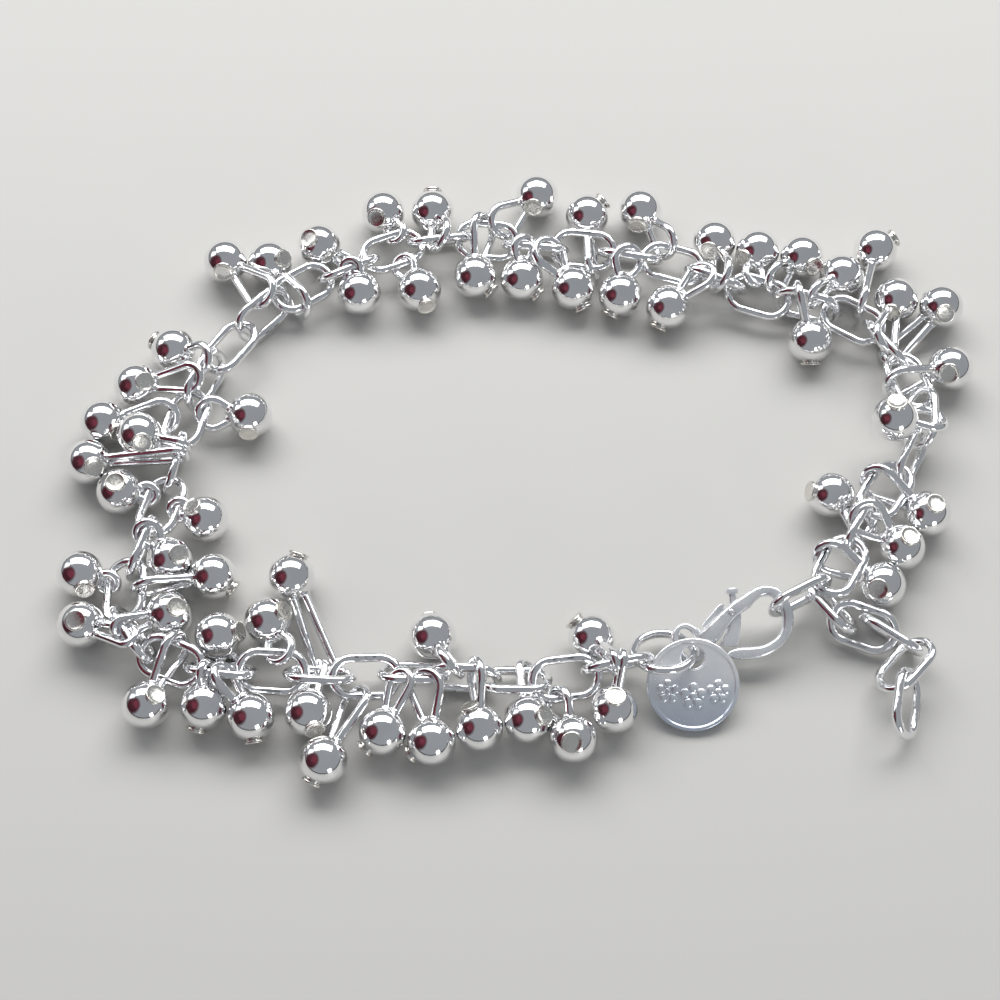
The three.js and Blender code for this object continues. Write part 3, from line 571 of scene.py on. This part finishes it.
def placed_by(x_axis, y_axis, z_axis, origin):
    """A function that takes points from those axes to the frame's."""
    basis = np.array([x_axis, y_axis, z_axis])
    return lambda points: np.asarray(points) @ basis + origin


TAG_UP = np.array([0, math.cos(math.radians(TAG_PLACE["tilt"])),
                   math.sin(math.radians(TAG_PLACE["tilt"]))])
TAG_FACE = np.array([0, -TAG_UP[2], TAG_UP[1]])
TAG_CENTRE = ring_point(TAG_PLACE["crossing"]) - TAG_UP * TAG_HOLE_OUT
on_tag = placed_by(np.array([1.0, 0, 0]), TAG_UP, TAG_FACE, TAG_CENTRE)


def clasp_axes():
    """The clasp's own axes: ahead from its rivet to its hook, to its left, and up from it."""
    tilt, heading = math.radians(CLASP_PLACE["tilt"]), math.radians(CLASP_PLACE["heading"])
    ahead = np.array([math.cos(heading), math.sin(heading) * math.cos(tilt),
                      math.sin(heading) * math.sin(tilt)])
    left = np.array([-math.sin(heading), math.cos(heading) * math.cos(tilt),
                     math.cos(heading) * math.sin(tilt)])
    return ahead, left, np.array([0, -math.sin(tilt), math.cos(tilt)])


CLASP_AHEAD, CLASP_LEFT, CLASP_UP = clasp_axes()
on_clasp = placed_by(CLASP_AHEAD, CLASP_LEFT, CLASP_UP, np.array(CLASP_PLACE["at"]) - CENTRE)
RIVET_CENTRE = on_clasp([[0, 0, 0]])[0]


def on_cheek(points):
    """on_clasp, at the lower cheek's level."""
    return on_clasp(points + [0, 0, CHEEK_LOW])


def box_shell(u, v, wide, deep, tall, place):
    """A box round the point (u, v) of the flat axes that place takes points from."""
    x, y, z = wide / 2, deep / 2, tall / 2
    points = [(u + a * x, v + b * y, c * z) for c in (-1, 1) for b in (-1, 1) for a in (-1, 1)]
    faces = [(0, 2, 3, 1), (4, 5, 7, 6), (0, 1, 5, 4), (2, 6, 7, 3), (0, 4, 6, 2), (1, 3, 7, 5)]
    return place(points), faces


def eye_shell():
    """The clasp's eye, an oval ring."""
    a = 2 * np.pi * np.arange(72) / 72
    half_u, half_v = (EYE["out_u"] + EYE["hole_u"]) / 2, (EYE["out_v"] + EYE["hole_v"]) / 2
    bar_u, bar_v = (EYE["out_u"] - EYE["hole_u"]) / 2, (EYE["out_v"] - EYE["hole_v"]) / 2
    b = 2 * np.pi * np.arange(20) / 20
    rings = []
    for t in a:
        u = EYE["u"] + (half_u + bar_u * np.cos(b)) * math.cos(t)
        v = EYE["v"] + (half_v + bar_v * np.cos(b)) * math.sin(t)
        rings.append(np.column_stack([u, v, np.sin(b) * EYE_THICK / 2]))
    return on_clasp(np.vstack(rings)), grid_faces(72, 20, True)


def pin_shell():
    """The rivet, with slightly domed ends."""
    top, radius = RIVET_TOP, RIVET_RADIUS - 0.01
    profile = [(0, -top), (0.16, -top + 0.01), (0.25, -top + 0.05), (radius, -top + 0.1),
               (radius, top - 0.1), (0.25, top - 0.05), (0.16, top - 0.01), (0, top)]
    return lathe(profile, RIVET_CENTRE, CLASP_UP, 32)


def bore_shell(radius):
    """The cutter for a hole that the rivet passes through."""
    profile = [(0, -CUT_PAST), (radius, -CUT_PAST), (radius, CUT_PAST), (0, CUT_PAST)]
    return lathe(profile, RIVET_CENTRE, CLASP_UP, 32)


def tab_shell():
    """The lever's thumb tab: a small bar with rounded edges."""
    steps = 32
    a = 2 * np.pi * np.arange(steps) / steps
    turn = math.radians(TAB["turn"])
    long_way = np.array([math.cos(turn), math.sin(turn)])
    short_way = np.array([-long_way[1], long_way[0]])
    middle = np.array([TAB["u"], TAB["v"]])
    rings = []
    for t in np.linspace(-1, 1, 17)[1:-1]:
        swell = (1 - abs(t) ** 4) ** 0.25
        x = np.sign(np.cos(a)) * np.abs(np.cos(a)) ** 0.6 * TAB["half"] * swell
        y = np.sign(np.sin(a)) * np.abs(np.sin(a)) ** 0.6 * TAB["deep"] * swell
        flat = middle + x[:, None] * long_way + y[:, None] * short_way
        rings.append(np.column_stack([flat, np.full(steps, t * TAB["tall"])]))
    ends = [[*middle, -TAB["tall"]], [*middle, TAB["tall"]]]
    return on_clasp(np.vstack(rings + [ends])), poled_faces(len(rings), steps)


def combine(base, cutters, joins):
    """base with the other pieces cut from it or joined to it, as one closed mesh."""
    for other, way in [(j, "UNION") for j in joins] + [(c, "DIFFERENCE") for c in cutters]:
        step = base.modifiers.new(way.lower(), "BOOLEAN")
        step.object, step.operation, step.solver = other, way, "EXACT"
    bpy.context.view_layer.update()
    graph = bpy.context.evaluated_depsgraph_get()
    mesh = bpy.data.meshes.new_from_object(base.evaluated_get(graph))
    base.modifiers.clear()
    base.data = mesh
    for other in cutters + joins:
        bpy.data.objects.remove(other)
    mesh.shade_smooth()
    mesh.set_sharp_from_angle(angle=math.radians(32))
    return base


# ---------------------------------------------------------------- finishes
# Painted reflection: the blue-grey that the tag's colour is multiplied towards near its lower edge, in
# place of the dark surroundings that part reflects.
PAINTED_REFLECTION_BLUE = (0.52, 0.58, 0.68, 1)
CLOUD_SIZE = 2.6


def silver(name, tint, shade, rough, wave, grain, fade=None, satin=0.0):
    """Polished silver: its tint drifts to shade, and its polish is uneven and finely marked.
    rough is the range of roughness, wave its ripples' (size, depth) and grain its marks' size,
    mm. fade, if given, is (from, to): between those Y, mm, the metal's colour darkens to blue-grey,
    a painted reflection of the dark surroundings.
    satin is the share of the light that the metal scatters like a matt surface."""
    material = bpy.data.materials.new(name)
    material.use_nodes = True
    nodes, links = material.node_tree.nodes, material.node_tree.links
    shader = nodes["Principled BSDF"]
    shader.inputs["Metallic"].default_value = 1.0 - satin
    where = nodes.new("ShaderNodeTexCoord")

    def noise(size, detail):
        mapping = nodes.new("ShaderNodeMapping")
        mapping.inputs["Scale"].default_value = [1 / (size * MM)] * 3
        links.new(where.outputs["Object"], mapping.inputs["Vector"])
        texture = nodes.new("ShaderNodeTexNoise")
        texture.inputs["Scale"].default_value = 1.0
        texture.inputs["Detail"].default_value = detail
        links.new(mapping.outputs["Vector"], texture.inputs["Vector"])
        return texture.outputs["Fac"]

    colours = nodes.new("ShaderNodeValToRGB")
    dark, light = colours.color_ramp.elements
    dark.position, dark.color = 0.38, (*shade, 1)
    light.position, light.color = 0.62, (*tint, 1)
    links.new(noise(CLOUD_SIZE, 3), colours.inputs["Fac"])
    # Painted reflection: between the fade's Y limits the base colour is darkened towards blue-grey.
    if fade:
        place = nodes.new("ShaderNodeSeparateXYZ")
        links.new(where.outputs["Object"], place.inputs["Vector"])
        depth = nodes.new("ShaderNodeMapRange")
        depth.inputs["From Min"].default_value = fade[0] * MM
        depth.inputs["From Max"].default_value = fade[1] * MM
        links.new(place.outputs["Y"], depth.inputs["Value"])
        painted_reflection_mix = nodes.new("ShaderNodeMix")
        painted_reflection_mix.data_type, painted_reflection_mix.blend_type = "RGBA", "MULTIPLY"
        painted_reflection_mix.inputs["B"].default_value = PAINTED_REFLECTION_BLUE
        links.new(depth.outputs["Result"], painted_reflection_mix.inputs["Factor"])
        links.new(colours.outputs["Color"], painted_reflection_mix.inputs["A"])
        links.new(painted_reflection_mix.outputs["Result"], shader.inputs["Base Color"])
    else:
        links.new(colours.outputs["Color"], shader.inputs["Base Color"])

    polish = nodes.new("ShaderNodeMapRange")
    polish.inputs["From Min"].default_value, polish.inputs["From Max"].default_value = 0.35, 0.7
    polish.inputs["To Min"].default_value, polish.inputs["To Max"].default_value = rough
    links.new(noise(grain, 4), polish.inputs["Value"])
    links.new(polish.outputs["Result"], shader.inputs["Roughness"])

    ripple = nodes.new("ShaderNodeBump")
    ripple.inputs["Strength"].default_value = 1.0
    ripple.inputs["Distance"].default_value = wave[1] * MM
    links.new(noise(wave[0], 1.5), ripple.inputs["Height"])
    marks = nodes.new("ShaderNodeBump")
    marks.inputs["Strength"].default_value = 1.0
    marks.inputs["Distance"].default_value = grain * 0.006 * MM
    links.new(noise(grain, 3), marks.inputs["Height"])
    links.new(ripple.outputs["Normal"], marks.inputs["Normal"])
    links.new(marks.outputs["Normal"], shader.inputs["Normal"])
    return material


WIRE = silver("silver_wire", tint=(0.96, 0.965, 0.975), shade=(0.87, 0.875, 0.89),
              rough=(0.07, 0.17), wave=(1.1, 0.03), grain=0.25)
BALL = silver("silver_ball", tint=(0.955, 0.955, 0.96), shade=(0.9, 0.9, 0.905),
              rough=(0.07, 0.12), wave=(1.7, 0.02), grain=0.3)
HEAD = silver("silver_head", tint=(0.86, 0.84, 0.80), shade=(0.74, 0.72, 0.67),
              rough=(0.16, 0.3), wave=(0.9, 0.02), grain=0.2)
# The tag's lower edge carries a painted reflection: its colour darkens to blue-grey towards -Y.
TAG = silver("silver_tag", tint=(0.95, 0.955, 0.965), shade=(0.86, 0.875, 0.905),
             rough=(0.14, 0.28), wave=(1.6, 0.05), grain=0.22, fade=(-20.5, -26.5), satin=0.4)
CLASP = silver("silver_clasp", tint=(0.93, 0.94, 0.96), shade=(0.80, 0.82, 0.85),
               rough=(0.12, 0.28), wave=(1.3, 0.05), grain=0.3, satin=0.3)


# ---------------------------------------------------------------- making the pieces
frames = chain_frames()
places = settle_balls(frames)
sphere_points, sphere_faces = icosphere(5)

for i, f in enumerate(frames):
    node = f"link_{i + 1:02d}"
    form = Form().add(link_shell(f, i + 1))
    fit_in(form.make(f"{node}_wire", [WIRE]), "bracelet", "silver_chain", node)
for i, row in enumerate(BALLS):
    wire, collars, head = charm_shells(row, places[i], frames[row.link - 1])
    ball = Form().add((places[i] + BALL_RADIUS * sphere_points, sphere_faces))
    fit_in(ball.make(f"ball_{i + 1:02d}", [BALL]), "bracelet", "silver_chain")
    pin = Form().add(wire).add(head, 1)
    for collar in collars:
        pin.add(collar)
    fit_in(pin.make(f"pin_{i + 1:02d}", [WIRE, HEAD]), "bracelet", "silver_chain")
for i, row in enumerate(PLAIN):
    f = frame_at(row, math.radians(row.heading))
    form = Form().add(link_shell(f, len(CHAIN) + 2 + i))
    fit_in(form.make(f"{row.name}_wire", [WIRE]), "bracelet", "silver_chain", row.name)

ring = Form().add(ring_shell()).make("jump_ring_wire", [WIRE])
fit_in(ring, "bracelet", "silver_ring", "jump_ring")

disc_points, disc_faces = tag_shell()
hole_points, hole_faces = tag_hole_shell()
disc = Form().add((on_tag(disc_points), disc_faces)).make("tag_plate", [TAG])
hole = Form().add((on_tag(hole_points), hole_faces)).make("tag_hole", [TAG])
fit_in(combine(disc, [hole], []), "bracelet", "silver_tag", "tag_disc")

body = Form().add(loft(CLASP_SECTIONS, 150, 32, 3.2, on_clasp)).make("clasp_casting", [CLASP])
eye = Form().add(eye_shell()).make("clasp_eye", [CLASP])
cheek = Form().add(loft(CHEEK_SECTIONS, 40, 24, 3.2, on_cheek)).make("clasp_cheek", [CLASP])
slot_box = box_shell(SLOT["u"], SLOT["v"], SLOT["wide"], SLOT["deep"], CLASP_SLOT, on_clasp)
slot = Form().add(slot_box).make("clasp_slot", [CLASP])
bore = Form().add(bore_shell(CLASP_BORE)).make("clasp_bore", [CLASP])
fit_in(combine(body, [slot, bore], [eye, cheek]), "bracelet", "silver_clasp", "clasp_body")

gate = Form().add(loft(LEVER_SECTIONS, 70, 28, 3.4, on_clasp)).make("clasp_gate", [CLASP])
tab = Form().add(tab_shell()).make("clasp_tab", [CLASP])
bore = Form().add(bore_shell(LEVER_BORE)).make("gate_bore", [CLASP])
fit_in(combine(gate, [bore], [tab]), "lever", "silver_clasp", "clasp_lever")

rivet = Form().add(pin_shell()).make("clasp_rivet", [CLASP])
fit_in(rivet, "bracelet", "silver_clasp", "clasp_pin")


# ---------------------------------------------------------------- table, light and camera
def plain(name, colour, rough):
    """A matt paint or board of one colour."""
    material = bpy.data.materials.new(name)
    material.use_nodes = True
    shader = material.node_tree.nodes["Principled BSDF"]
    shader.inputs["Base Color"].default_value = (*colour, 1)
    shader.inputs["Roughness"].default_value = rough
    return material


def soft_cloth(name, colour, edge):
    """A matt cloth that fades out to nothing over its outer part. edge is that part's share of
    the way from the rim of the panel's inscribed oval to its middle."""
    material = plain(name, colour, 0.9)
    nodes, links = material.node_tree.nodes, material.node_tree.links
    place = nodes.new("ShaderNodeTexCoord")
    centred = nodes.new("ShaderNodeMapping")
    centred.inputs["Location"].default_value = (-1, -1, 0)
    centred.inputs["Scale"].default_value = (2, 2, 0)
    round_fade = nodes.new("ShaderNodeTexGradient")
    round_fade.gradient_type = "SPHERICAL"
    limit = nodes.new("ShaderNodeMapRange")
    limit.interpolation_type = "SMOOTHSTEP"
    limit.inputs["From Max"].default_value = edge
    links.new(place.outputs["Generated"], centred.inputs["Vector"])
    links.new(centred.outputs["Vector"], round_fade.inputs["Vector"])
    links.new(round_fade.outputs["Fac"], limit.inputs["Value"])
    links.new(limit.outputs["Result"], nodes["Principled BSDF"].inputs["Alpha"])
    return material


def panel(name, centre, size, towards):
    """A flat rectangle that faces a point."""
    mesh = bpy.data.meshes.new(name)
    x, y = size[0] / 2, size[1] / 2
    mesh.from_pydata([(-x, -y, 0), (x, -y, 0), (x, y, 0), (-x, y, 0)], [], [(0, 1, 2, 3)])
    made = bpy.data.objects.new(name, mesh)
    bpy.context.scene.collection.objects.link(made)
    made.location = centre
    made.rotation_mode = "QUATERNION"
    made.rotation_quaternion = (Vector(towards) - Vector(centre)).to_track_quat("Z", "Y")
    return made


def lamp(name, centre, size, power, colour):
    """A rectangular lamp that faces the bracelet's middle."""
    light = bpy.data.lights.new(name, "AREA")
    light.shape = "RECTANGLE"
    light.size, light.size_y = size
    light.energy, light.color = power, colour
    made = bpy.data.objects.new(name, light)
    bpy.context.scene.collection.objects.link(made)
    made.location = centre
    made.rotation_mode = "QUATERNION"
    made.rotation_quaternion = (-Vector(centre)).to_track_quat("-Z", "Y")
    return made


def mirror_only(piece):
    """Only the silver's reflections see this piece of the studio."""
    for ray in ("camera", "diffuse", "shadow", "transmission", "volume_scatter"):
        setattr(piece, "visible_" + ray, False)


def border_ring(radius, top, sides):
    """A low upright ring that stands on the table, round the bracelet."""
    turns = 2 * np.pi * np.arange(sides) / sides
    circle = np.column_stack([np.cos(turns), np.sin(turns)]) * radius
    rings = [np.column_stack([circle, np.full(sides, z)]) for z in (0.001, top)]
    mesh = bpy.data.meshes.new("border")
    mesh.from_pydata(np.vstack(rings).tolist(), [], grid_faces(2, sides))
    made = bpy.data.objects.new("border", mesh)
    bpy.context.scene.collection.objects.link(made)
    return made


# Sizes and places from here on are in metres.
table = panel("table", (0, 0, 0), (16, 16), (0, 0, 1))
table.data.materials.append(plain("table_top", (0.55, 0.54, 0.52), 0.6))

# A dark wine screen with a lighter fold stands on the left, and a low dark border runs
# round the bracelet. The silver reflects all three.
screen = panel("screen", (-0.245, -0.085, 0.155), (0.44, 0.52), (0, 0, 0))
screen.data.materials.append(soft_cloth("screen_cloth", (0.06, 0.004, 0.013), 0.45))
mirror_only(screen)
fold = panel("screen_fold", (-0.131, -0.071, 0.133), (0.17, 0.16), (0, 0, 0))
fold.data.materials.append(soft_cloth("fold_cloth", (0.21, 0.032, 0.058), 0.7))
mirror_only(fold)

border = border_ring(radius=0.62, top=0.05, sides=48)
border.data.materials.append(plain("border_board", (0.03, 0.03, 0.032), 0.8))
mirror_only(border)

lamp("window_back", (0.0, 0.36, 0.39), (0.8, 0.3), 4.2, (1.0, 0.997, 0.985))
lamp("window_front", (0.24, -0.47, 0.1), (0.13, 0.15), 0.4, (1.0, 0.99, 0.98))
lamp("window_left", (-0.5, 0.2, 0.3), (0.2, 0.25), 0.3, (0.96, 0.98, 1.0))

world = bpy.data.worlds.new("room")
world.use_nodes = True
room = world.node_tree.nodes["Background"]
room.inputs["Color"].default_value = (0.60, 0.63, 0.67, 1)
room.inputs["Strength"].default_value = 0.48
bpy.context.scene.world = world
bpy.context.scene.view_settings.view_transform = "Standard"

TARGET = Vector((-0.0023, -0.00408, 0.0021))
CAMERA_ELEVATION = math.radians(62)
CAMERA_DISTANCE = 0.2
camera_data = bpy.data.cameras.new("camera")
camera_data.lens, camera_data.sensor_width = 79.2, 36
camera_data.clip_start, camera_data.clip_end = 0.01, 20
camera = bpy.data.objects.new("camera", camera_data)
bpy.context.scene.collection.objects.link(camera)
towards_camera = Vector((0, -math.cos(CAMERA_ELEVATION), math.sin(CAMERA_ELEVATION)))
camera.location = TARGET + CAMERA_DISTANCE * towards_camera
camera.rotation_mode = "QUATERNION"
camera.rotation_quaternion = (TARGET - camera.location).to_track_quat("-Z", "Y")
bpy.context.scene.camera = camera
